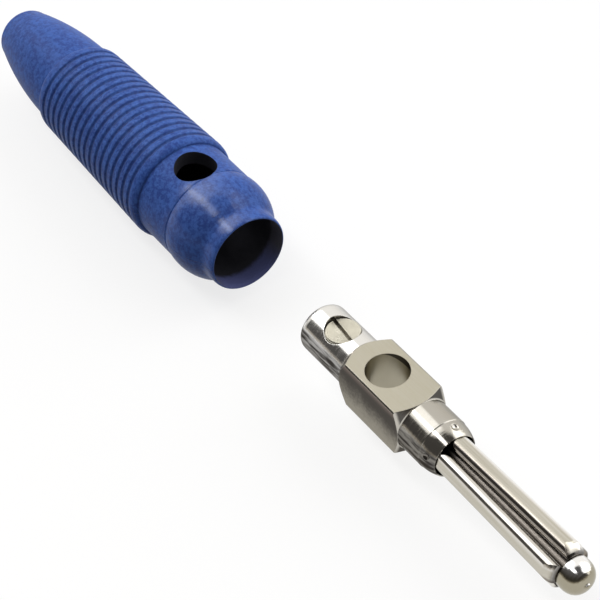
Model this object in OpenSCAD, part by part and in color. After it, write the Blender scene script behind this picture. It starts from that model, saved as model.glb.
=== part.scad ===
// Stacking banana plug with its insulating sleeve drawn off along the plug's axis.
// The origin is where the plug's long axis crosses the cross hole.
// +X runs to the tip of the sprung pin, +Z up along the cross hole. All sizes are in millimetres.

/* [Plug body] */
// Width of the square block across its flats
block_width = 5.2; // [5:0.1:5.6]
// Diameter of the cross hole, which takes the pin of a second plug
cross_hole_diameter = 4; // [3.9:0.05:4.2]
// From the cross hole to the corners at the rear of the block
block_rear = 2.8; // [2.6:0.1:3.4]
// From the cross hole to the corners at the front of the block
block_front = 4.2; // [3.6:0.1:4.4]
// Length of the bevel turned on the rear corners of the block
block_rear_bevel = 1.1; // [0.8:0.1:1.6]
// Length of the bevel turned on the front corners of the block
block_front_bevel = 0.6; // [0.4:0.1:1]
// Amount turned off the long corners of the block
corner_break = 0.1; // [0.06:0.02:0.2]
// Length of the round shank behind the block's rear corners
shank_length = 7.5; // [7:0.1:10]
// How far the shank's surface lies below the block's flats
shank_step = 0.13; // [0.08:0.01:0.25]
// Radius of the rounded edge at the shank's rear end
shank_edge = 0.8; // [0.3:0.1:0.9]
// Diameter of the bore that takes the wire
wire_bore_diameter = 2.8; // [2:0.1:3]
// Length of the collar in front of the block's front corners
collar_length = 5.1; // [4.6:0.1:6.5]
// How far the collar's surface lies below the block's flats
collar_step = 0.02; // [0.02:0.01:0.1]
// Length of the rounded nose of the collar
collar_nose = 1.7; // [1.4:0.1:2.4]
// Depth of the edge turned where the nose begins
nose_edge = 0.05; // [0.02:0.01:0.08]
// Wall left at the collar's mouth
mouth_wall = 0.09; // [0.06:0.01:0.2]
// Radius of the staking marks that hold the leaves
dimple_radius = 0.5; // [0.3:0.05:0.6]
// From the collar's mouth to the middle of the staking marks
dimple_setback = 0.85; // [0.7:0.05:1.2]
// Depth of the staking marks
dimple_depth = 0.26; // [0.15:0.01:0.3]
// Depth of the socket that holds the pin
socket_depth = 3.8; // [3:0.1:4]

/* [Clamp screw] */
// Diameter of the screw
screw_diameter = 3.3; // [2.8:0.1:3.5]
// From the shank's rear end to the middle of the screw
screw_setback = 3.7; // [3.3:0.05:4.2]
// Length of the screw
screw_length = 1.5; // [1.2:0.1:1.8]
// Depth of the screw's top below the crown of the shank
screw_sunk = 0.36; // [0.2:0.02:0.5]
// Bevel at the screw's slotted end
screw_bevel = 0.12; // [0.05:0.01:0.2]
// Bevel at the screw's clamping end
screw_point = 0.2; // [0.1:0.05:0.4]
// Width of the screwdriver slot
slot_width = 0.36; // [0.3:0.02:0.6]
// Depth of the screwdriver slot
slot_depth = 0.6; // [0.4:0.05:0.8]
// Turn of the slot from the plug's axis
slot_turn = -6; // [-90:1:90]
// Radial clearance between the screw and its hole
screw_clearance = 0.04; // [0.03:0.01:0.08]
// From the screw's hole to the end of the wire bore
wire_overrun = 0.7; // [0.4:0.1:1]

/* [Sprung pin] */
// Diameter over the leaves where they leave the collar
pin_diameter = 4.1; // [3.9:0.05:4.2]
// Length of the leaves in front of the collar
leaf_length = 14.9; // [12:0.1:18]
// Outward lean of each leaf, in degrees
leaf_flare = 1; // [0.4:0.1:1.2]
// Radius of the two rolled edges of each leaf
roll_radius = 0.6; // [0.5:0.02:0.66]
// Thickness of the strip that the leaves are rolled from
leaf_wall = 0.3; // [0.2:0.02:0.4]
// Gap between neighbouring leaves
leaf_gap = 0.34; // [0.2:0.02:0.5]
// Turn of the leaves about the plug's axis
leaf_turn = 27; // [0:1:45]
// Length of the rounded shoulder at the front of each leaf
shoulder_length = 1.5; // [1:0.1:2]
// Length behind that shoulder where the rolled strip is closed
leaf_cap = 0.4; // [0.2:0.1:1]
// How far the shoulder reaches in under the head's edge
shoulder_tuck = 0.1; // [0.05:0.05:0.3]
// Diameter of the head at the tip
head_diameter = 3.24; // [3:0.02:3.4]
// Length of the head
head_length = 1.95; // [1.6:0.05:2.4]
// Straight part of the head, before it rounds off
head_straight = 0.55; // [0.3:0.05:0.8]
// Bevel at the rear edge of the head
head_bevel = 0.08; // [0.04:0.02:0.2]
// Radius of the flat at the tip
tip_radius = 0.42; // [0.3:0.02:0.6]
// Radius of the turning pip left on the tip
pip_radius = 0.3; // [0.15:0.01:0.3]
// Height of that pip
pip_height = 0.2; // [0.08:0.02:0.24]
// Height of the pip's rounded end
pip_round = 0.12; // [0.04:0.02:0.14]
// Radial clearance between the leaves and the socket
leaf_clearance = 0.03; // [0.02:0.01:0.05]
// Clearance between the leaves and the core
core_clearance = 0.03; // [0.02:0.01:0.05]

/* [Sleeve] */
// Gap between the shank's rear end and the sleeve's mouth, with the sleeve drawn off
sleeve_gap = 11.5; // [5:0.1:20]
// Radial clearance between the block's corners and the sleeve's cavity
sleeve_clearance = 0.2; // [0.15:0.05:0.4]
// Wall of the lip at the mouth
lip_wall = 0.32; // [0.3:0.02:0.5]
// Length of the lip
lip_length = 1.7; // [1.4:0.1:2]
// How far the lip's outer edge is rounded down
lip_edge = 0.2; // [0.1:0.02:0.22]
// Length of that rounding along the lip
lip_crown = 0.7; // [0.4:0.1:1]
// Radius of the blend between the lip and the ball
lip_blend = 1.2; // [0.6:0.1:1.4]
// Length of the bevel inside the mouth
lead_in = 0.45; // [0.3:0.05:0.8]
// Land left between the lip's outer edge and that bevel
lip_land = 0.04; // [0.02:0.02:0.1]
// Wall of the plain part round the cross hole
sleeve_wall = 1.44; // [1.3:0.02:1.8]
// How far the ball behind the lip stands out beyond the plain part
ball_rise = 0.12; // [0.06:0.02:0.2]
// Depth of the seam line behind the ball
seam_depth = 0.06; // [0.04:0.01:0.12]
// Width of the seam line behind the ball
seam_width = 0.22; // [0.15:0.01:0.3]
// Length of the plain part, from the ball's seam line to the ringed grip
plain_length = 5; // [4.6:0.1:6]
// Diameter of the cross hole through the sleeve
sleeve_hole_diameter = 4.1; // [4:0.1:4.7]
// From the edge of that hole to the ringed grip
hole_margin = 0.8; // [0.3:0.1:0.9]
// Step up from the plain part to the ringed grip
grip_rise = 0.47; // [0.3:0.01:0.6]
// Length of the rounded edges of the grip
grip_edge = 0.8; // [0.5:0.05:1]
// Length of the ringed grip
grip_length = 19.9; // [16:0.1:24]
// Narrowing of the grip's radius towards the nose
grip_taper = 0.6; // [0.3:0.05:0.8]
// Number of rings cut round the grip
ring_count = 17; // [8:1:20]
// Depth of each ring
ring_depth = 0.13; // [0.05:0.01:0.25]
// Width of each ring at the surface
ring_width = 0.52; // [0.4:0.02:0.6]
// Width of each ring at its floor
ring_floor = 0.16; // [0.1:0.02:0.2]
// From the ends of the grip to the first and last ring
ring_margin = 1.3; // [1.2:0.1:2]
// Step down from the grip to the nose
nose_step = 0.45; // [0.3:0.05:0.7]
// Length of the hollow at the foot of that step
nose_hollow = 0.3; // [0.2:0.05:0.5]
// Length of the rounded nose
nose_length = 12.2; // [9:0.1:15]
// Narrowing of the nose's radius over its length
nose_taper = 1.62; // [1.2:0.02:1.8]
// Radius of the nose's rounded end
nose_round = 0.9; // [0.5:0.05:1]
// Diameter of the cable's way in through the nose
cable_hole_diameter = 3.2; // [2.4:0.1:3.4]
// Space behind the shank when the sleeve is seated
cavity_gap = 0.6; // [0.4:0.1:1.5]

/* [Hidden] */
$fn = 96;
eps = 0.5;
leaf_count = 4;
half = block_width / 2;
corner_radius = half * sqrt(2) - corner_break;
shank_radius = half - shank_step;
collar_radius = half - collar_step;
shank_rear = block_rear + shank_length;
collar_front = block_front + collar_length;
socket_end = collar_front - socket_depth;
pin_radius = pin_diameter / 2;
socket_radius = pin_radius + leaf_clearance;
collar_mouth = socket_radius + mouth_wall;
roll_centre = pin_radius - roll_radius;
roll_angle = 180 / leaf_count - asin((roll_radius + leaf_gap / 2) / roll_centre);
roll_side = roll_centre * sin(roll_angle);
roll_height = roll_centre * cos(roll_angle);
core_radius = roll_centre - roll_radius - socket_depth * tan(leaf_flare) - core_clearance;
leaf_end = collar_front + leaf_length;
head_radius = head_diameter / 2;
shoulder_outer = pin_radius + leaf_length * tan(leaf_flare);
shoulder_inner = head_radius - shoulder_tuck;
screw_radius = screw_diameter / 2;
screw_x = -shank_rear + screw_setback;
screw_top = shank_radius - screw_sunk;
screw_foot = screw_top - screw_length;
wire_end = screw_x + screw_radius + wire_overrun;
cavity_radius = corner_radius + sleeve_clearance;
lip_radius = cavity_radius + lip_wall;
plain_radius = cavity_radius + sleeve_wall;
ball_radius = plain_radius + ball_rise;
ball_centre = lip_length + sqrt(pow(ball_radius, 2) - pow(lip_radius, 2));
seam_at = ball_centre + sqrt(pow(ball_radius, 2) - pow(plain_radius, 2));
blend_reach = sqrt(pow(ball_radius + lip_blend, 2) - pow(lip_radius + lip_blend, 2));
blend_at = ball_centre - blend_reach;
blend_turn = atan2(blend_reach, lip_radius + lip_blend);
blend_end = blend_at + lip_blend * sin(blend_turn);
grip_start = seam_at + plain_length;
sleeve_hole_at = grip_start - sleeve_hole_diameter / 2 - hole_margin;
grip_radius = plain_radius + grip_rise;
grip_end = grip_start + grip_length;
grip_end_radius = grip_radius - grip_taper;
nose_radius = grip_end_radius - nose_step;
nose_end = grip_end + nose_length;
nose_run = nose_length - nose_hollow - nose_round;
nose_end_radius = nose_radius - nose_taper;
cavity_depth = sleeve_hole_at + shank_rear + cavity_gap;
sleeve_mouth = -shank_rear - sleeve_gap;
ring_pitch = (grip_length - 2 * ring_margin) / (ring_count - 1);

// Radius of the grip at a distance from the mouth
function grip_at(u) = grip_radius - grip_taper * (u - grip_start) / grip_length;

// Points of a quarter ellipse that falls from the radius a to a - fall
function round_off(a, fall, from, run, n) = [for (i = [1 : n])
    [a - fall * (1 - cos(90 * i / n)), from + run * sin(90 * i / n)]];

// Points of a quarter ellipse that rises from the radius a - rise to a
function round_on(a, rise, from, run, n) = [for (i = [0 : n])
    [a - rise * (1 - sin(90 * i / n)), from + run * (1 - cos(90 * i / n))]];

// Points of a curve that falls ever faster from the radius a to a - fall
function droop(a, fall, from, run, n) = [for (i = [0 : n])
    [a - fall * pow(i / n, 2), from + run * i / n]];

// Four points of one ring cut into the grip
function ring(u) = [
    [grip_at(u - ring_width / 2), u - ring_width / 2],
    [grip_at(u) - ring_depth, u - ring_floor / 2],
    [grip_at(u) - ring_depth, u + ring_floor / 2],
    [grip_at(u + ring_width / 2), u + ring_width / 2]];

// Turned shape round the plug's axis, from points of radius and place along X
module turned(points) {
    rotate([0, 90, 0])
        rotate_extrude()
            polygon(points);
}

// Round bar along X
module bar(radius, from, to) {
    translate([from, 0, 0])
        rotate([0, 90, 0])
            cylinder(r = radius, h = to - from);
}

// Places something once for each leaf, with its local +Z turned to the middle of that leaf
module at_leaf(index) {
    rotate([leaf_turn + (index + 0.5) * 360 / leaf_count, 0, 0])
        children();
}

module square_block() {
    rear = -block_rear - block_rear_bevel;
    front = block_front + block_front_bevel;
    intersection() {
        translate([rear, -half, -half])
            cube([front - rear, block_width, block_width]);
        turned([
            [0, rear],
            [shank_radius, rear],
            [corner_radius, -block_rear],
            [corner_radius, block_front],
            [collar_radius, front],
            [0, front]]);
    }
}

module shank() {
    turned(concat(
        [[0, -shank_rear]],
        round_on(shank_radius, shank_edge, -shank_rear, shank_edge, 6),
        [[shank_radius, -block_rear], [0, -block_rear]]));
}

module collar() {
    bend = collar_front - collar_nose;
    brow = collar_radius - nose_edge;
    turned(concat(
        [[0, block_front], [collar_radius, block_front], [collar_radius, bend]],
        droop(brow, brow - collar_mouth, bend + nose_edge, collar_nose - nose_edge, 6),
        [[0, collar_front]]));
}

// Small round marks that were punched into the nose of the collar
module staking_marks() {
    for (i = [0 : leaf_count - 1])
        at_leaf(i)
            translate([collar_front - dimple_setback, 0, collar_radius - nose_edge + dimple_radius - dimple_depth])
                sphere(r = dimple_radius);
}

// One turned and milled piece
module plug_body() {
    color([0.74, 0.71, 0.64])
    difference() {
        union() {
            square_block();
            shank();
            collar();
        }
        cylinder(d = cross_hole_diameter, h = block_width + 2 * eps, center = true);
        bar(wire_bore_diameter / 2, -shank_rear - eps, wire_end);
        translate([screw_x, 0, 0])
            cylinder(r = screw_radius + screw_clearance, h = shank_radius + eps);
        bar(socket_radius, socket_end, collar_front + eps);
        staking_marks();
    }
}

// Headless screw with a straight slot
module clamp_screw() {
    color([0.78, 0.76, 0.68])
    translate([screw_x, 0, 0])
        difference() {
            rotate_extrude()
                polygon([
                    [0, screw_foot],
                    [screw_radius - screw_point, screw_foot],
                    [screw_radius, screw_foot + screw_point],
                    [screw_radius, screw_top - screw_bevel],
                    [screw_radius - screw_bevel, screw_top],
                    [0, screw_top]]);
            rotate([0, 0, slot_turn])
                translate([-screw_diameter, -slot_width / 2, screw_top - slot_depth])
                    cube([2 * screw_diameter, slot_width, slot_depth + eps]);
        }
}

// Rod in the middle of the pin, with the rounded head
module core_pin() {
    head_round = head_length - head_straight;
    head_end = leaf_end + head_length;
    pip_end = head_end + pip_height;
    color([0.72, 0.69, 0.6])
        turned(concat(
            [[0, socket_end], [core_radius, socket_end], [core_radius, leaf_end]],
            [[head_radius - head_bevel, leaf_end], [head_radius, leaf_end + head_bevel]],
            [[head_radius, leaf_end + head_straight]],
            round_off(head_radius, head_radius - tip_radius, leaf_end + head_straight, head_round, 8),
            [[pip_radius, head_end], [pip_radius, pip_end - pip_round]],
            round_off(pip_radius, pip_radius, pip_end - pip_round, pip_round, 4)));
}

// Flat strip whose two edges are rounded over
module strip(radius) {
    for (side = [-1, 1])
        translate([side * roll_side, roll_height])
            circle(r = radius);
    translate([-roll_side, roll_height])
        square([2 * roll_side, radius]);
}

// Space inside a rolled strip, open towards the core
module strip_hollow() {
    strip(roll_radius - leaf_wall);
    translate([-roll_side, roll_height - 2 * roll_radius])
        square([2 * roll_side, 2 * roll_radius]);
}

// Rolled spring strip, leaning outwards, closed and rounded in under the head
module contact_leaf(index) {
    inside = core_radius + core_clearance;
    shoulder_at = leaf_end - shoulder_length;
    length = socket_depth + leaf_length + 2 * eps;
    color([0.76, 0.74, 0.68])
    intersection() {
        turned(concat(
            [[inside, socket_end], [shoulder_outer, socket_end], [shoulder_outer, shoulder_at]],
            round_off(shoulder_outer, shoulder_outer - shoulder_inner, shoulder_at, shoulder_length, 6),
            [[inside, leaf_end]]));
        at_leaf(index)
            translate([collar_front, 0, 0])
                rotate([0, -leaf_flare, 0])
                    rotate([90, 0, 90])
                        translate([0, 0, -socket_depth - eps])
                            difference() {
                                linear_extrude(height = length)
                                    strip(roll_radius);
                                translate([0, 0, -eps])
                                    linear_extrude(height = length - shoulder_length - leaf_cap)
                                        strip_hollow();
                            }
    }
}

module sleeve_outline() {
    polygon(concat(
        [[0, 0]],
        round_on(lip_radius, lip_edge, 0, lip_crown, 6),
        [for (i = [0 : 6])
            let (turn = blend_turn * i / 6)
            [lip_radius + lip_blend * (1 - cos(turn)), blend_at + lip_blend * sin(turn)]],
        [for (i = [1 : 14])
            let (u = blend_end + (seam_at - blend_end) * i / 14)
            [sqrt(pow(ball_radius, 2) - pow(u - ball_centre, 2)), u]],
        [[plain_radius - seam_depth, seam_at + seam_width / 2], [plain_radius, seam_at + seam_width]],
        round_on(grip_at(grip_start + grip_edge), grip_at(grip_start + grip_edge) - plain_radius,
                 grip_start, grip_edge, 4),
        [for (i = [0 : ring_count - 1], p = ring(grip_start + ring_margin + ring_pitch * i)) p],
        [[grip_at(grip_end - grip_edge), grip_end - grip_edge]],
        round_off(grip_at(grip_end - grip_edge), grip_at(grip_end - grip_edge) - nose_radius - nose_step / 3,
                  grip_end - grip_edge, grip_edge, 4),
        droop(nose_radius, nose_taper, grip_end + nose_hollow, nose_run, 16),
        round_off(nose_end_radius, nose_round, nose_end - nose_round, nose_round, 6),
        [[0, nose_end]]));
}

// One moulding, open at the mouth and at the nose
module insulating_sleeve() {
    rim = lip_radius - lip_edge - lip_land;
    color([0.15, 0.24, 0.58])
    translate([sleeve_mouth, 0, 0])
        difference() {
            rotate([0, -90, 0])
                rotate_extrude()
                    sleeve_outline();
            bar(cavity_radius, -cavity_depth, eps);
            turned([[0, -lead_in], [cavity_radius, -lead_in], [rim, 0], [rim, eps], [0, eps]]);
            bar(cable_hole_diameter / 2, -nose_end - eps, -cavity_depth + eps);
            translate([-sleeve_hole_at, 0, 0])
                cylinder(d = sleeve_hole_diameter, h = 2 * grip_radius + 2 * eps, center = true);
        }
}

plug_body();
clamp_screw();
core_pin();
contact_leaf(0);  // contact_leaf_1
contact_leaf(1);  // contact_leaf_2
contact_leaf(2);  // contact_leaf_3
contact_leaf(3);  // contact_leaf_4
insulating_sleeve();
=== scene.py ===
import math

import bpy
from mathutils import Matrix, Vector


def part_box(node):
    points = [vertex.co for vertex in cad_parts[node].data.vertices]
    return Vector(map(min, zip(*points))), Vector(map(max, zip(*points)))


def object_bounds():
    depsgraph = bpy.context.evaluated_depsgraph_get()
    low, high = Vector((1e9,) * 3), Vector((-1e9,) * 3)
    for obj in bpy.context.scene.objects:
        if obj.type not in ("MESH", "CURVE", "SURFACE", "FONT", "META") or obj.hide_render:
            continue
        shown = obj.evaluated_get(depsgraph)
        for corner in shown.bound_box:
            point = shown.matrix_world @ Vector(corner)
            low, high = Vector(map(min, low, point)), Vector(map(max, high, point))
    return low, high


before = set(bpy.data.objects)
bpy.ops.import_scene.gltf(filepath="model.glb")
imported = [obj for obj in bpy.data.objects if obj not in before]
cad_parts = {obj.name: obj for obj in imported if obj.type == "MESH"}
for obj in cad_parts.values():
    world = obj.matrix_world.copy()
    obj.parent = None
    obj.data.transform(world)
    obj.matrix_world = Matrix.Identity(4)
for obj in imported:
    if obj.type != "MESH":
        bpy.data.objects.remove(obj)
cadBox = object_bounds()
mm = 0.001
print("frame loaded:", ", ".join(sorted(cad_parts)))


# the photograph's direction, distance and lens, found from the block's corners and the round edges
view = {
    "azimuth": 58.04,
    "elevation": 44.85,
    "roll": -4.1,
    "distance": 176.26 * mm,
    "aim": Vector((-12.877, 0, 0)) * mm,
    "lift": 0.683 * mm,
    "slide": -0.3 * mm,
    "focalPixels": 1945,
    "imagePixels": 600,
    "sensor": 36,
    "near": 0.01,
    "far": 20,
}


def makeCamera():
    azimuth, elevation, roll = (math.radians(view[angle]) for angle in ("azimuth", "elevation", "roll"))
    reach = math.cos(elevation)
    back = Vector((math.sin(azimuth) * reach, -math.cos(azimuth) * reach, math.sin(elevation)))
    level = Vector((math.cos(azimuth), math.sin(azimuth), 0))
    upright = back.cross(level)
    right = level * math.cos(roll) + upright * math.sin(roll)
    up = upright * math.cos(roll) - level * math.sin(roll)
    data = bpy.data.cameras.new("camera")
    data.sensor_width = view["sensor"]
    data.lens = view["focalPixels"] / view["imagePixels"] * view["sensor"]
    data.clip_start = view["near"]
    data.clip_end = view["far"]
    camera = bpy.data.objects.new("camera", data)
    bpy.context.scene.collection.objects.link(camera)
    place = view["aim"] + right * view["slide"] + up * view["lift"] + back * view["distance"]
    axes = Matrix((right, up, back)).transposed().to_4x4()
    camera.matrix_world = Matrix.Translation(place) @ axes
    bpy.context.scene.camera = camera


makeCamera()
print("camera placed")


class Value:
    # an output socket; an expression on it adds Math nodes to its graph
    def __init__(self, graph, socket):
        self.graph = graph
        self.socket = socket

    def math(self, operation, *terms):
        return self.graph.add("ShaderNodeMath", {"operation": operation}, dict(enumerate(terms)))

    def __add__(self, other):
        return self.math("ADD", self, other)

    def __radd__(self, other):
        return self.math("ADD", other, self)

    def __sub__(self, other):
        return self.math("SUBTRACT", self, other)

    def __rsub__(self, other):
        return self.math("SUBTRACT", other, self)

    def __mul__(self, other):
        return self.math("MULTIPLY", self, other)

    def __rmul__(self, other):
        return self.math("MULTIPLY", other, self)

    def __truediv__(self, other):
        return self.math("DIVIDE", self, other)

    def __rtruediv__(self, other):
        return self.math("DIVIDE", other, self)

    def __pow__(self, other):
        return self.math("POWER", self, other)

    def __abs__(self):
        return self.math("ABSOLUTE", self)

    def larger(self, other):
        return self.math("MAXIMUM", self, other)

    def smaller(self, other):
        return self.math("MINIMUM", self, other)

    def swing(self, amount):
        # a noise, moved to swing about 0
        return (self - 0.5) * amount


class Graph:
    # a node tree that is written from scratch
    def __init__(self, tree):
        self.tree = tree
        tree.nodes.clear()

    def add(self, kind, settings=None, inputs=None, output=0):
        node = self.tree.nodes.new(kind)
        for name, value in (settings or {}).items():
            setattr(node, name, value)
        for name, value in (inputs or {}).items():
            if isinstance(value, Value):
                self.tree.links.new(value.socket, node.inputs[name])
            else:
                node.inputs[name].default_value = value
        return Value(self, node.outputs[output]) if node.outputs else None

    def step(self, value, low, high):
        # smooth rise from 0 at low to 1 at high, which may be the smaller of the two
        return self.add(
            "ShaderNodeMapRange",
            {"interpolation_type": "SMOOTHSTEP"},
            {0: value, 1: low, 2: high},
        )

    def mix(self, share, first, second):
        # colours, from first at 0 to second at 1
        return self.add(
            "ShaderNodeMix",
            {"data_type": "RGBA", "clamp_factor": True},
            {0: share, 6: first, 7: second},
            output=2,
        )

    def parts(self, vector):
        return [self.add("ShaderNodeSeparateXYZ", {}, {0: vector}, output=axis) for axis in range(3)]

    def dot(self, first, second):
        return self.add(
            "ShaderNodeVectorMath", {"operation": "DOT_PRODUCT"}, {0: first, 1: second}, output="Value"
        )

    def noise(self, point, scale, detail=3.0, rough=0.55, stretch=None):
        if stretch:
            point = self.add("ShaderNodeVectorMath", {"operation": "MULTIPLY"}, {0: point, 1: stretch})
        inputs = {"Vector": point, "Scale": scale, "Detail": detail, "Roughness": rough}
        return self.add("ShaderNodeTexNoise", {}, inputs)

    def bump(self, height, depth, normal):
        # depth in millimetres
        inputs = {"Height": height, "Strength": 1.0, "Distance": depth * mm, "Normal": normal}
        return self.add("ShaderNodeBump", {}, inputs)


def color(red, green, blue):
    return (red, green, blue, 1.0)


class Finish(Graph):
    # a material's graph; x, y, z and radius give the place on the part in millimetres
    raySamples = 6
    edgeLean = (0.01, 0.2)

    def __init__(self, name):
        self.material = bpy.data.materials.new(name)
        self.material.use_nodes = True
        super().__init__(self.material.node_tree)
        place = self.add("ShaderNodeTexCoord", output="Object")
        self.point = self.add("ShaderNodeVectorMath", {"operation": "SCALE"}, {0: place, "Scale": 1 / mm})
        self.x, self.y, self.z = self.parts(self.point)
        self.radius = (self.y * self.y + self.z * self.z) ** 0.5

    def facing(self):
        return self.add("ShaderNodeTexCoord", output="Normal")

    def rounded(self, size):
        # a normal that rounds off sharp edges
        return self.add("ShaderNodeBevel", {"samples": self.raySamples}, {"Radius": size * mm})

    def edges(self, rounded):
        # 1 on sharp edges, where the rounded normal leans away from the surface's own
        own = self.add("ShaderNodeNewGeometry", output="Normal")
        return self.step(1 - self.dot(rounded, own), *self.edgeLean)

    def crevices(self, size, fromOpen, toShut):
        # 0 in the open, 1 in corners and slots
        opening = self.add(
            "ShaderNodeAmbientOcclusion", {"samples": self.raySamples}, {"Distance": size * mm}, output="AO"
        )
        return self.step(opening, fromOpen, toShut)

    def surface(self, inputs):
        shader = self.add("ShaderNodeBsdfPrincipled", {}, inputs)
        self.add("ShaderNodeOutputMaterial", {}, {"Surface": shader})
        return self.material


# nickel plate: satin on the milled flats, bright where it was turned; painted shade and painted reflection
# on the sides and the block's ends
# bands are in millimetres, from where a mask is 0 to where it is 1
plate = {
    "bright": color(0.55, 0.535, 0.50),
    "warm": color(0.48, 0.45, 0.39),
    "polished": color(0.95, 0.94, 0.92),
    "flat": color(0.47, 0.44, 0.352),
    "paintedShade": color(0.045, 0.041, 0.038),
    "sideShade": color(0.10, 0.092, 0.084),
    "sideEdge": color(0.22, 0.18, 0.16),
    "sideFootReflection": color(0.40, 0.375, 0.32),
    "bore": color(0.42, 0.39, 0.305),
    "boreShade": color(0.36, 0.33, 0.255),
    "creviceShade": color(0.05, 0.043, 0.038),
    "edgeTint": color(0.5, 0.49, 0.47),
    "flatBand": (2.582, 2.59),
    "boreBand": (2.06, 2.02),
    "turnedBand": (2.64, 2.62),
    "shankBand": (-3.8, -4.0),
    "sideBand": (1.4, -2.4),
    "sideEdgeBand": (1.7, 2.5),
    "cornerBand": (2.66, 2.72),
    "cornerReach": (2.5, 2.2),
    "turnedSide": (0.8, 0.92),  # share of the radius, sideways
    "cloud": {"scale": 0.35},
    "speckle": {"scale": 4.5, "detail": 4.0, "rough": 0.7},
    "brushed": {"scale": 1.6, "detail": 4.0, "stretch": (0.25, 9, 9)},
    "rings": {"scale": 1.0, "stretch": (14, 0.05, 0.05)},
    "streaks": {"scale": 7.0},
    "streakPull": 0.06,
    "streakBand": (0.38, 0.62),
    "streakFloor": 0.62,
    "streakRise": 0.38,
    "brushBand": (0.35, 0.7),
    "brushShine": 0.25,
    "shankPolish": 0.8,
    "sideCloud": 2.2,
    "sideSpeckle": 3,
    "cornerCloud": 0.4,
    "cornerShade": 0.9,
    "crevices": (0.7, 0.75, 0.2),
    "creviceShading": 0.7,
    "edge": 0.07,
    "edgeShine": 0.5,
    "brightRough": 0.11,
    "flatRough": 0.34,
    "boreRough": 0.2,
    "cloudRough": 0.08,
    "lineRough": 0.1,
    "edgeSmooth": 0.05,
    "creviceRough": 0.2,
    "sideRough": 0.12,
    "speckleBump": 0.5,
    "bumpDepth": 0.012,
}


def platedBody():
    f = Finish("platedBody")
    rounded = f.rounded(plate["edge"])
    edge = f.edges(rounded)
    flat = f.step(abs(f.y).larger(abs(f.z)), *plate["flatBand"])
    side = f.step(abs(f.y), *plate["flatBand"])
    acrossHole = (f.x * f.x + f.y * f.y) ** 0.5
    bore = f.step(acrossHole, *plate["boreBand"])
    turned = f.step(f.radius, *plate["turnedBand"]) * (1 - bore) * (1 - flat)
    shank = f.step(f.x, *plate["shankBand"])
    cloud, speckle, brushed, rings = (
        f.noise(f.point, **plate[kind]) for kind in ("cloud", "speckle", "brushed", "rings")
    )
    lines = rings * (1 - flat) + brushed * flat
    pulled = f.x * plate["streakPull"]
    aroundAxis = f.add("ShaderNodeCombineXYZ", {}, {0: pulled, 1: f.y / f.radius, 2: f.z / f.radius})
    streak = f.step(f.noise(aroundAxis, **plate["streaks"]), *plate["streakBand"])
    tone = f.mix(cloud, plate["bright"], plate["warm"])
    tone = f.mix(shank * plate["shankPolish"], tone, plate["polished"])
    brushShare = f.step(brushed, *plate["brushBand"]) * plate["brushShine"]
    tone = f.mix(flat, tone, f.mix(brushShare, plate["flat"], plate["bright"]))
    # painted shade inside the cross hole: its plate is darker and beiger
    tone = f.mix(bore, tone, f.mix(cloud, plate["bore"], plate["boreShade"]))
    # painted reflection and shade on the side flats: lighter at the foot and dark above, with a browner
    # upper edge
    height = f.z + cloud.swing(plate["sideCloud"]) + speckle.swing(plate["sideSpeckle"])
    sideFlatShading = f.mix(f.step(height, *plate["sideBand"]), plate["sideShade"], plate["sideFootReflection"])
    sideFlatShading = f.mix(f.step(f.z, *plate["sideEdgeBand"]), sideFlatShading, plate["sideEdge"])
    tone = f.mix(side, tone, sideFlatShading)
    # painted shade on the sides of the turned parts, in streaks
    onSide = f.step(abs(f.y) / f.radius, *plate["turnedSide"]) * turned
    streaked = plate["streakFloor"] + streak * plate["streakRise"]
    tone = f.mix(onSide * streaked, tone, plate["paintedShade"])
    # painted shade: the block's ends and bevels are darkened, except near the side flats
    corner = f.step(f.radius, *plate["cornerBand"]) * (1 - flat)
    inward = f.step(abs(f.y) + cloud.swing(plate["cornerCloud"]), *plate["cornerReach"])
    tone = f.mix(corner * inward * plate["cornerShade"], tone, plate["paintedShade"])
    # painted shade in corners and slots
    creviceShading = f.crevices(*plate["crevices"]) * (1 - bore)
    tone = f.mix(creviceShading * plate["creviceShading"], tone, plate["creviceShade"])
    tone = f.mix(edge * plate["edgeShine"], tone, plate["bright"])
    rough = plate["brightRough"] + flat * (plate["flatRough"] - plate["brightRough"])
    rough = rough + bore * plate["boreRough"]
    rough = rough + cloud.swing(plate["cloudRough"]) + lines.swing(plate["lineRough"])
    rough = rough - edge * plate["edgeSmooth"] + creviceShading * plate["creviceRough"] + side * plate["sideRough"]
    return f.surface({
        "Base Color": tone,
        "Metallic": 1.0,
        "Roughness": rough,
        "Specular Tint": plate["edgeTint"],
        "Normal": f.bump(lines + speckle * flat * plate["speckleBump"], plate["bumpDepth"], rounded),
    })


# screw: yellower plate, turned on its end
screwPlate = {
    "bright": color(0.70, 0.675, 0.58),
    "dull": color(0.50, 0.47, 0.38),
    "creviceShade": color(0.10, 0.075, 0.055),
    "cloud": {"scale": 1.1},
    "turnsPerMm": 11,
    "turnDetail": 3.0,
    "crevices": (0.5, 0.7, 0.25),
    "creviceShading": 0.7,
    "edge": 0.05,
    "rough": 0.3,
    "cloudRough": 0.2,
    "creviceRough": 0.2,
    "edgeSmooth": 0.06,
    "bumpDepth": 0.012,
}


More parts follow.
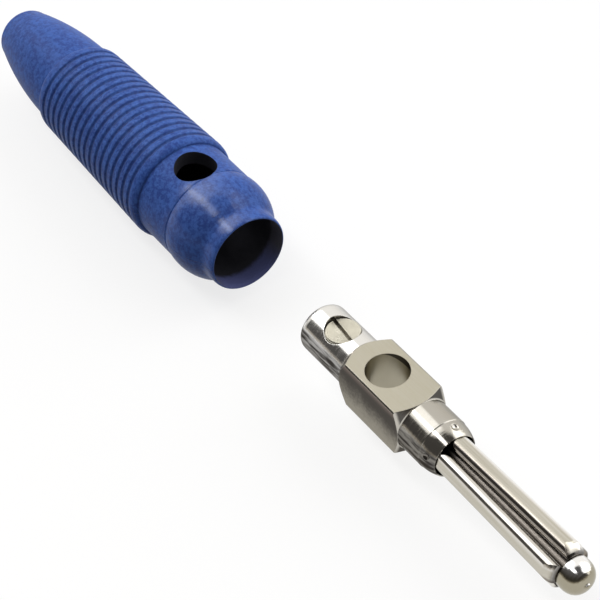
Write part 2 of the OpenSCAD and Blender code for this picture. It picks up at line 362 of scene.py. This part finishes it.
def screwMetal():
    f = Finish("screwMetal")
    low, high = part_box("clamp_screw")
    middle = (low + high) / 2 / mm
    rounded = f.rounded(screwPlate["edge"])
    edge = f.edges(rounded)
    across = ((f.x - middle.x) ** 2 + (f.y - middle.y) ** 2) ** 0.5
    turns = f.add(
        "ShaderNodeTexNoise",
        {"noise_dimensions": "1D"},
        {"W": across * screwPlate["turnsPerMm"], "Detail": screwPlate["turnDetail"]},
    )
    cloud = f.noise(f.point, **screwPlate["cloud"])
    # painted shade in the slot and other crevices
    creviceShading = f.crevices(*screwPlate["crevices"])
    tone = f.mix(cloud, screwPlate["bright"], screwPlate["dull"])
    tone = f.mix(creviceShading * screwPlate["creviceShading"], tone, screwPlate["creviceShade"])
    rough = screwPlate["rough"] + cloud.swing(screwPlate["cloudRough"])
    rough = rough + creviceShading * screwPlate["creviceRough"] - edge * screwPlate["edgeSmooth"]
    return f.surface({
        "Base Color": tone,
        "Metallic": 1.0,
        "Roughness": rough,
        "Normal": f.bump(turns, screwPlate["bumpDepth"], rounded),
    })


# leaves: bright, drawn lengthwise, dull along the middle; painted shade along one edge and at the ends, and
# each leaf darkened by how it faces the light
leafPlate = {
    "bright": color(0.95, 0.94, 0.93),
    "warm": color(0.78, 0.75, 0.69),
    "flat": color(0.50, 0.47, 0.39),
    "dull": color(0.42, 0.39, 0.32),
    "paintedShade": color(0.15, 0.125, 0.10),
    "creviceShade": color(0.05, 0.042, 0.036),
    "leafShade": {
        "contact_leaf_1": 0.4,
        "contact_leaf_2": 0.3,
        "contact_leaf_3": 0.2,
        "contact_leaf_4": 0.0,
    },
    "cloud": {"scale": 0.5},
    "drawn": {"scale": 1.5, "detail": 4.0, "stretch": (0.12, 11, 11)},
    "streak": {"scale": 1.2, "stretch": (0.08, 3, 3)},
    "flatFacing": (0.6, 0.85),  # how squarely the flat part faces outwards
    "polishBand": (0.45, 0.15),  # millimetres across the leaf
    "edgeShadeBand": (-0.45, -0.8),
    "shadedEnd": 0.5,
    "warmCloud": 0.4,
    "warmStreak": 0.5,
    "dullStreak": 0.7,
    "flatShare": 0.8,
    "flatStreak": 0.6,
    "edgeShadeStreak": 0.3,
    "edgeShadeShare": 0.8,
    "crevices": (0.7, 0.7, 0.2),
    "creviceShading": 0.8,
    "endShade": 0.9,
    "edge": 0.05,
    "rough": 0.1,
    "flatRough": 0.24,
    "cloudRough": 0.08,
    "drawnRough": 0.08,
    "creviceRough": 0.2,
    "bumpDepth": 0.005,
}


def leafMetal(name):
    f = Finish("leafMetal_" + name[-1])
    rounded = f.rounded(leafPlate["edge"])
    low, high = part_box(name)
    front = high.x / mm
    outwards = ((low + high) * Vector((0, 1, 1))).normalized()
    along = f.dot(f.facing(), outwards)
    across = f.y * outwards.z - f.z * outwards.y
    flat = f.step(along, *leafPlate["flatFacing"]) * f.step(across, *leafPlate["polishBand"])
    cloud, drawn, streak = (f.noise(f.point, **leafPlate[kind]) for kind in ("cloud", "drawn", "streak"))
    creviceShading = f.crevices(*leafPlate["crevices"])
    warmth = cloud * leafPlate["warmCloud"] + streak * leafPlate["warmStreak"]
    tone = f.mix(warmth, leafPlate["bright"], leafPlate["warm"])
    # painted shade: a darker share for each leaf by how it faces the light, with streaks
    leafShade = leafPlate["leafShade"][name] + streak.swing(leafPlate["dullStreak"])
    tone = f.mix(leafShade, tone, leafPlate["dull"])
    flatShare = leafPlate["flatShare"] + streak.swing(leafPlate["flatStreak"])
    tone = f.mix(flat * flatShare, tone, leafPlate["flat"])
    # painted shade along one edge of each leaf, next to the gap
    edgeShaded = f.step(across + streak.swing(leafPlate["edgeShadeStreak"]), *leafPlate["edgeShadeBand"])
    tone = f.mix(edgeShaded * leafPlate["edgeShadeShare"], tone, leafPlate["paintedShade"])
    # painted shade at the leaf's front end and in crevices
    end = f.step(f.x, front - leafPlate["shadedEnd"], front)
    shadedShare = (creviceShading * leafPlate["creviceShading"]).larger(end * leafPlate["endShade"])
    tone = f.mix(shadedShare, tone, leafPlate["creviceShade"])
    rough = leafPlate["rough"] + flat * (leafPlate["flatRough"] - leafPlate["rough"])
    rough = rough + cloud.swing(leafPlate["cloudRough"]) + drawn.swing(leafPlate["drawnRough"])
    return f.surface({
        "Base Color": tone,
        "Metallic": 1.0,
        "Roughness": rough + creviceShading * leafPlate["creviceRough"],
        "Normal": f.bump(drawn, leafPlate["bumpDepth"], rounded),
    })


# core: painted highlight on the head's upward faces, dull in front; painted shade on the rod
corePlate = {
    "bright": color(0.95, 0.94, 0.93),
    "front": color(0.385, 0.357, 0.275),
    "dull": color(0.32, 0.29, 0.215),
    "paintedShade": color(0.15, 0.125, 0.10),
    "creviceShade": color(0.05, 0.042, 0.036),
    "cloud": {"scale": 0.8},
    "rings": {"scale": 1.0, "stretch": (13, 0.05, 0.05)},
    "headLength": 2.2,
    "headBlend": 0.1,
    "litTopFacing": (0.6, 0.85),
    "dullCloud": 0.7,
    "rodShade": 0.9,
    "crevices": (0.5, 0.6, 0.15),
    "creviceShading": 0.75,
    "edge": 0.25,
    "rough": 0.1,
    "cloudRough": 0.08,
    "creviceRough": 0.2,
    "rodRough": 0.3,
    "bumpDepth": 0.006,
}


def coreMetal():
    f = Finish("coreMetal")
    rounded = f.rounded(corePlate["edge"])
    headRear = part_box("core_pin")[1].x / mm - corePlate["headLength"]
    rod = f.step(f.x, headRear + corePlate["headBlend"], headRear)
    cloud, rings = (f.noise(f.point, **corePlate[kind]) for kind in ("cloud", "rings"))
    creviceShading = f.crevices(*corePlate["crevices"])
    # painted highlight: upward faces of the head are bright
    litTop = f.step(f.parts(f.facing())[2], *corePlate["litTopFacing"])
    tone = f.mix(cloud * corePlate["dullCloud"], corePlate["front"], corePlate["dull"])
    tone = f.mix(litTop, tone, corePlate["bright"])
    # painted shade on the rod between the leaves, and in crevices
    tone = f.mix(rod * corePlate["rodShade"], tone, corePlate["paintedShade"])
    tone = f.mix(creviceShading * corePlate["creviceShading"], tone, corePlate["creviceShade"])
    rough = corePlate["rough"] + cloud.swing(corePlate["cloudRough"])
    return f.surface({
        "Base Color": tone,
        "Metallic": 1.0,
        "Roughness": rough + creviceShading * corePlate["creviceRough"] + rod * corePlate["rodRough"],
        "Normal": f.bump(rings, corePlate["bumpDepth"], rounded),
    })


# sleeve: moulded in two halves, satin, polished by handling on the ball; painted shade inside
moulding = {
    "body": color(0.028, 0.067, 0.28),
    "pale": color(0.053, 0.130, 0.45),
    "wornSheen": color(0.09, 0.19, 0.50),
    "deepShade": color(0.016, 0.02, 0.055),
    "mouth": color(0.10, 0.10, 0.13),
    "mouthFootLit": color(0.10, 0.115, 0.27),
    "inside": color(0.03, 0.03, 0.038),
    "mouthAt": -21.8,
    "mouthBand": (-1.0, -3.2),
    "cavityBand": (1.4, 2.2),  # depth behind the mouth
    "cavityMottle": 0.5,
    "holeAt": -30.196,
    "holeBand": (2.1, 2.05),
    "insideFacing": (0.1, -0.1),
    "smallRadius": 0.01,
    "gripFront": (-33.846, -34.046),
    "gripRear": (-52.146, -51.946),
    "firstRing": -34.346,
    "ringPitch": 1.08125,
    "grooveBand": (0.3, 0.1),  # distance from the middle of a groove
    "crestBand": (0.3, 0.45),
    "crestGrain": (0.48, 0.62),
    "grooveShade": 0.55,
    "grooveShadeShare": 0.8,
    "crestWearSheen": 0.4,
    "edgeWear": 0.45,
    "ballBand": (-29.5, -27.5),
    "ballPolish": 0.85,
    "handledAbove": (0.2, 0.8),
    "handledBeside": (0.4, -0.1),
    "seamBand": (0.07, 0.01),
    "cloud": {"scale": 0.4},
    "mottle": {"scale": 2.2, "detail": 5.0, "rough": 0.65},
    "grain": {"scale": 6.0},
    "mottleBand": (0.36, 0.64),
    "patchCloud": 1.2,
    "patchGrain": 1.2,
    "crevices": (0.5, 0.9, 0.45),
    "edge": 0.12,
    "rough": 0.46,
    "ballRough": 0.38,
    "insideRough": 0.5,
    "mottleRough": 0.3,
    "cloudRough": 0.1,
    "edgeSmooth": 0.05,
    "specular": 0.1,
    "coatRough": 0.2,
    "grainBump": 0.4,
    "mottleBump": 0.5,
    "seamBump": 1.2,
    "bumpDepth": 0.05,
}


def sleevePlastic():
    f = Finish("sleevePlastic")
    rounded = f.rounded(moulding["edge"])
    edge = f.edges(rounded)
    cloud, mottle, grain = (f.noise(f.point, **moulding[kind]) for kind in ("cloud", "mottle", "grain"))
    facing = f.parts(f.facing())
    outwards = (facing[1] * f.y + facing[2] * f.z) / f.radius.larger(moulding["smallRadius"])
    inside = f.step(outwards, *moulding["insideFacing"])
    acrossHole = ((f.x - moulding["holeAt"]) ** 2 + f.y * f.y) ** 0.5
    hidden = inside.larger(f.step(acrossHole, *moulding["holeBand"]))
    seam = f.step(abs(f.z), *moulding["seamBand"]) * (1 - inside)
    # painted shade in the grip's grooves and in crevices; crests that are worn and carry a painted sheen
    nearRing = f.x.math("PINGPONG", f.x - moulding["firstRing"], moulding["ringPitch"] / 2)
    ringed = f.step(f.x, *moulding["gripFront"]) * f.step(f.x, *moulding["gripRear"])
    shaded = f.step(nearRing, *moulding["grooveBand"]) * ringed * moulding["grooveShade"]
    groove = f.crevices(*moulding["crevices"]).larger(shaded)
    crest = f.step(nearRing, *moulding["crestBand"]) * ringed * f.step(grain, *moulding["crestGrain"])
    patch = f.step(mottle, *moulding["mottleBand"])
    patch = patch + cloud.swing(moulding["patchCloud"]) + grain.swing(moulding["patchGrain"])
    tone = f.mix(patch, moulding["body"], moulding["pale"])
    # the lighter crests are partly wear, partly a painted sheen
    wearAndSheen = (edge * moulding["edgeWear"]).larger(crest * moulding["crestWearSheen"])
    tone = f.mix(wearAndSheen, tone, moulding["wornSheen"])
    tone = f.mix(groove * moulding["grooveShadeShare"], tone, moulding["deepShade"])
    # painted light on the foot of the ring inside the mouth; painted shade in the cavity behind it and in
    # the cross hole
    depth = moulding["mouthAt"] - f.x
    ring = f.mix(f.step(f.z, *moulding["mouthBand"]), moulding["mouth"], moulding["mouthFootLit"])
    deepIn = f.step(depth + mottle.swing(moulding["cavityMottle"]), *moulding["cavityBand"])
    tone = f.mix(hidden, tone, f.mix(deepIn, ring, moulding["inside"]))
    ball = f.step(f.x, *moulding["ballBand"])
    handled = f.step(facing[2], *moulding["handledAbove"]) * f.step(facing[1], *moulding["handledBeside"])
    rough = moulding["rough"] + ball * (moulding["ballRough"] - moulding["rough"])
    rough = rough + mottle.swing(moulding["mottleRough"]) + cloud.swing(moulding["cloudRough"])
    rough = rough - edge * moulding["edgeSmooth"] + hidden * moulding["insideRough"]
    height = grain * moulding["grainBump"] + mottle * moulding["mottleBump"] + seam * moulding["seamBump"]
    return f.surface({
        "Base Color": tone,
        "Roughness": rough,
        "Specular IOR Level": moulding["specular"],
        "Coat Weight": ball * (1 - hidden) * handled * moulding["ballPolish"],
        "Coat Roughness": moulding["coatRough"],
        "Normal": f.bump(height, moulding["bumpDepth"], rounded),
    })


finishes = {
    "plug_body": platedBody(),
    "clamp_screw": screwMetal(),
    "core_pin": coreMetal(),
    "insulating_sleeve": sleevePlastic(),
}
for name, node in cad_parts.items():
    node.data.materials.clear()
    node.data.materials.append(finishes[name] if name in finishes else leafMetal(name))
    weighted = node.modifiers.new("evenNormals", "WEIGHTED_NORMAL")
    weighted.weight = 100  # the largest faces decide
    weighted.keep_sharp = True
print("finishes on", len(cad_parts), "pieces")


# studio: pale floor, a long strip overhead, a key from the right, a bright and a dark side, a glow above
studio = {
    "floorSize": 3.0,
    "floorColor": color(0.22, 0.22, 0.22),
    "floorLift": 0.78,
    "lamps": {
        "strip": {"place": (-0.55, -0.16, 0.5), "size": (1.5, 0.12), "radiance": 3.6, "aimed": False},
        "key": {"place": (0.25, 0.6, 0.42), "size": (0.8, 0.8), "radiance": 1.7, "aimed": True},
    },
    "darkSide": color(0.08, 0.076, 0.073),
    "horizon": color(0.5, 0.46, 0.4),
    "horizonBand": (0.13, 0.1),
    "brightSide": color(0.97, 0.95, 0.91),
    "brightToward": (-0.8, 0.6, 0.0),
    "brightBand": (0.18, 0.3),
    "glow": color(1.9, 1.89, 1.87),
    "glowToward": (-0.6, -0.12, 0.79),
    "glowBand": (0.895, 0.945),
}


def makeFloor():
    half, level = studio["floorSize"], cadBox[0].z
    mesh = bpy.data.meshes.new("floor")
    corners = [(-half, -half, level), (half, -half, level), (half, half, level), (-half, half, level)]
    mesh.from_pydata(corners, [], [(0, 1, 2, 3)])
    floor = bpy.data.objects.new("floor", mesh)
    bpy.context.scene.collection.objects.link(floor)
    f = Finish("floorCard")
    rays = ("Is Camera Ray", "Is Glossy Ray", "Is Transmission Ray")
    seen, glossy, through = (f.add("ShaderNodeLightPath", output=ray) for ray in rays)
    lift = (seen + glossy + through).smaller(1.0) * studio["floorLift"]
    card = f.add("ShaderNodeBsdfDiffuse", {}, {"Color": studio["floorColor"]})
    glow = f.add("ShaderNodeEmission", {}, {"Strength": lift})
    both = f.add("ShaderNodeAddShader", {}, {0: card, 1: glow})
    f.add("ShaderNodeOutputMaterial", {}, {"Surface": both})
    mesh.materials.append(f.material)


def makeLamp(name, place, size, radiance, aimed):
    data = bpy.data.lights.new(name, "AREA")
    data.shape = "RECTANGLE"
    data.size, data.size_y = size
    data.energy = radiance * math.pi * size[0] * size[1]
    lamp = bpy.data.objects.new(name, data)
    lamp.location = place
    lamp.rotation_euler = Vector(place if aimed else (0, 0, 1)).to_track_quat("Z", "Y").to_euler()
    bpy.context.scene.collection.objects.link(lamp)


def makeWorld():
    world = bpy.data.worlds.new("studio")
    world.use_nodes = True
    g = Graph(world.node_tree)
    direction = g.add("ShaderNodeTexCoord", output="Generated")
    height = g.parts(direction)[2]
    bright, toward = (g.dot(direction, studio[name]) for name in ("brightToward", "glowToward"))
    tone = g.mix(g.step(height, *studio["horizonBand"]), studio["darkSide"], studio["horizon"])
    tone = g.mix(g.step(bright, *studio["brightBand"]), tone, studio["brightSide"])
    tone = g.mix(g.step(toward, *studio["glowBand"]), tone, studio["glow"])
    sky = g.add("ShaderNodeBackground", {}, {"Color": tone, "Strength": 1.0})
    g.add("ShaderNodeOutputWorld", {}, {"Surface": sky})
    bpy.context.scene.world = world


makeFloor()
for name, lamp in studio["lamps"].items():
    makeLamp(name, **lamp)
makeWorld()
print("studio lit")

bpy.context.scene.view_settings.view_transform = "Standard"
